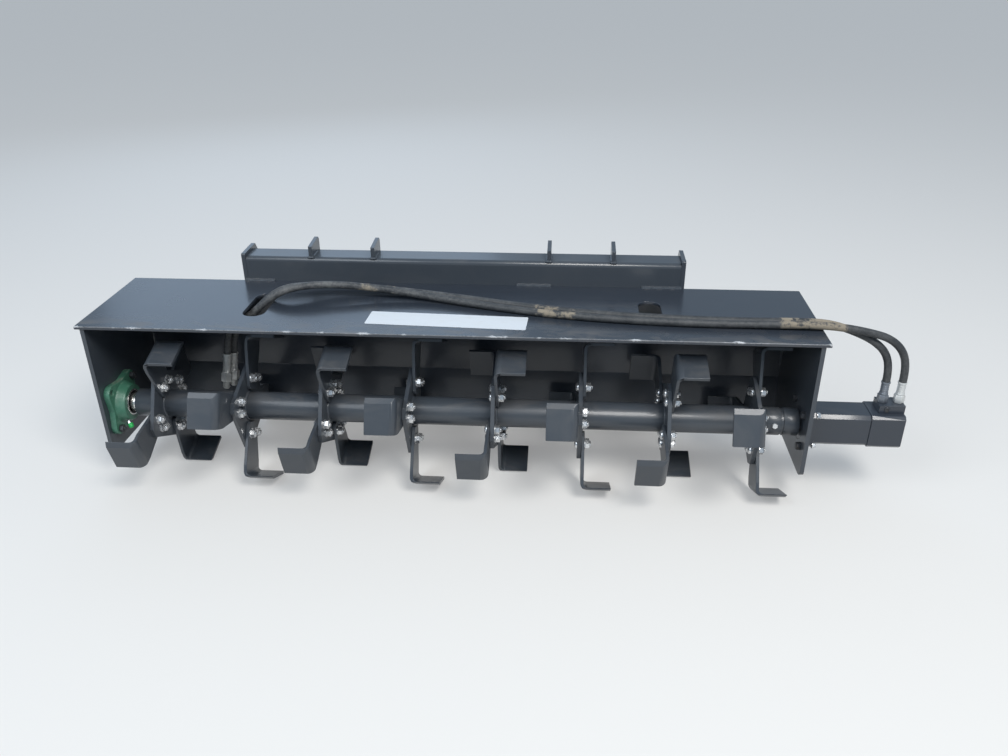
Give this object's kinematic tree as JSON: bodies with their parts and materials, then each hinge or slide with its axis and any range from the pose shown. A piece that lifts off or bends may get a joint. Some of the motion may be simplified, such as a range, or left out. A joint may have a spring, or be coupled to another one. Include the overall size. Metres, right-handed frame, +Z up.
{
  "type": "rotary tiller attachment for a skid-steer loader",
  "caption": "Hydraulic rotary tiller with L tines on bolted flanges, an open-fronted hood, an outboard motor with hoses and a quick attach hitch frame.",
  "frame": {"origin": "on the ground, at the middle of the hitch frame's foot", "axes": "+X along the rotor towards the motor, +Y towards the loader, +Z up"},
  "size_m": [1.956, 0.5219, 0.525],
  "materials": {
    "frame_paint": "gloss charcoal paint",
    "rotor_paint": "gloss charcoal paint",
    "bearing_casting": "green cast housing",
    "motor_paint": "satin black paint",
    "zinc_fitting": "zinc plated",
    "hose_rubber": "matt black rubber cover",
    "bright_steel": "machined steel"
  },
  "bodies": {
    "frame": {"deck_plate": "frame_paint", "back_panel": "frame_paint", "side_plate_left": "frame_paint", "side_plate_right": "frame_paint", "hitch_top_beam": "frame_paint", "hitch_bottom_beam": "frame_paint", "hitch_end_plate_left": "frame_paint", "hitch_end_plate_right": "frame_paint", "hitch_centre_plate": "frame_paint", "hitch_lugs": "frame_paint", "lock_bracket_left": "frame_paint", "lock_bracket_right": "frame_paint", "bearing_housing": "bearing_casting", "motor_flange": "motor_paint", "motor_body": "motor_paint", "motor_end_cap": "motor_paint", "port_block": "motor_paint", "port_fitting_pressure": "zinc_fitting", "port_fitting_return": "zinc_fitting", "hose_pressure": "hose_rubber", "hose_return": "hose_rubber", "hose_end_pressure": "zinc_fitting", "hose_end_return": "zinc_fitting"},
    "rotor": {"rotor_tube": "rotor_paint", "shaft_collar": "bright_steel", "rotor_coupling": "rotor_paint", "rotor_flange_1": "rotor_paint", "rotor_flange_2": "rotor_paint", "rotor_flange_3": "rotor_paint", "rotor_flange_4": "rotor_paint", "rotor_flange_5": "rotor_paint", "rotor_flange_6": "rotor_paint", "rotor_flange_7": "rotor_paint", "rotor_flange_8": "rotor_paint", "tines_1": "rotor_paint", "tines_2": "rotor_paint", "tines_3": "rotor_paint", "tines_4": "rotor_paint", "tines_5": "rotor_paint", "tines_6": "rotor_paint", "tines_7": "rotor_paint", "tines_8": "rotor_paint"}
  },
  "joints": [
    {"name": "rotor_spin", "type": "hinge", "parent": "frame", "child": "rotor", "pos_m": [0, -0.29, 0.18193], "axis": [1, 0, 0], "continuous": true}
  ]
}
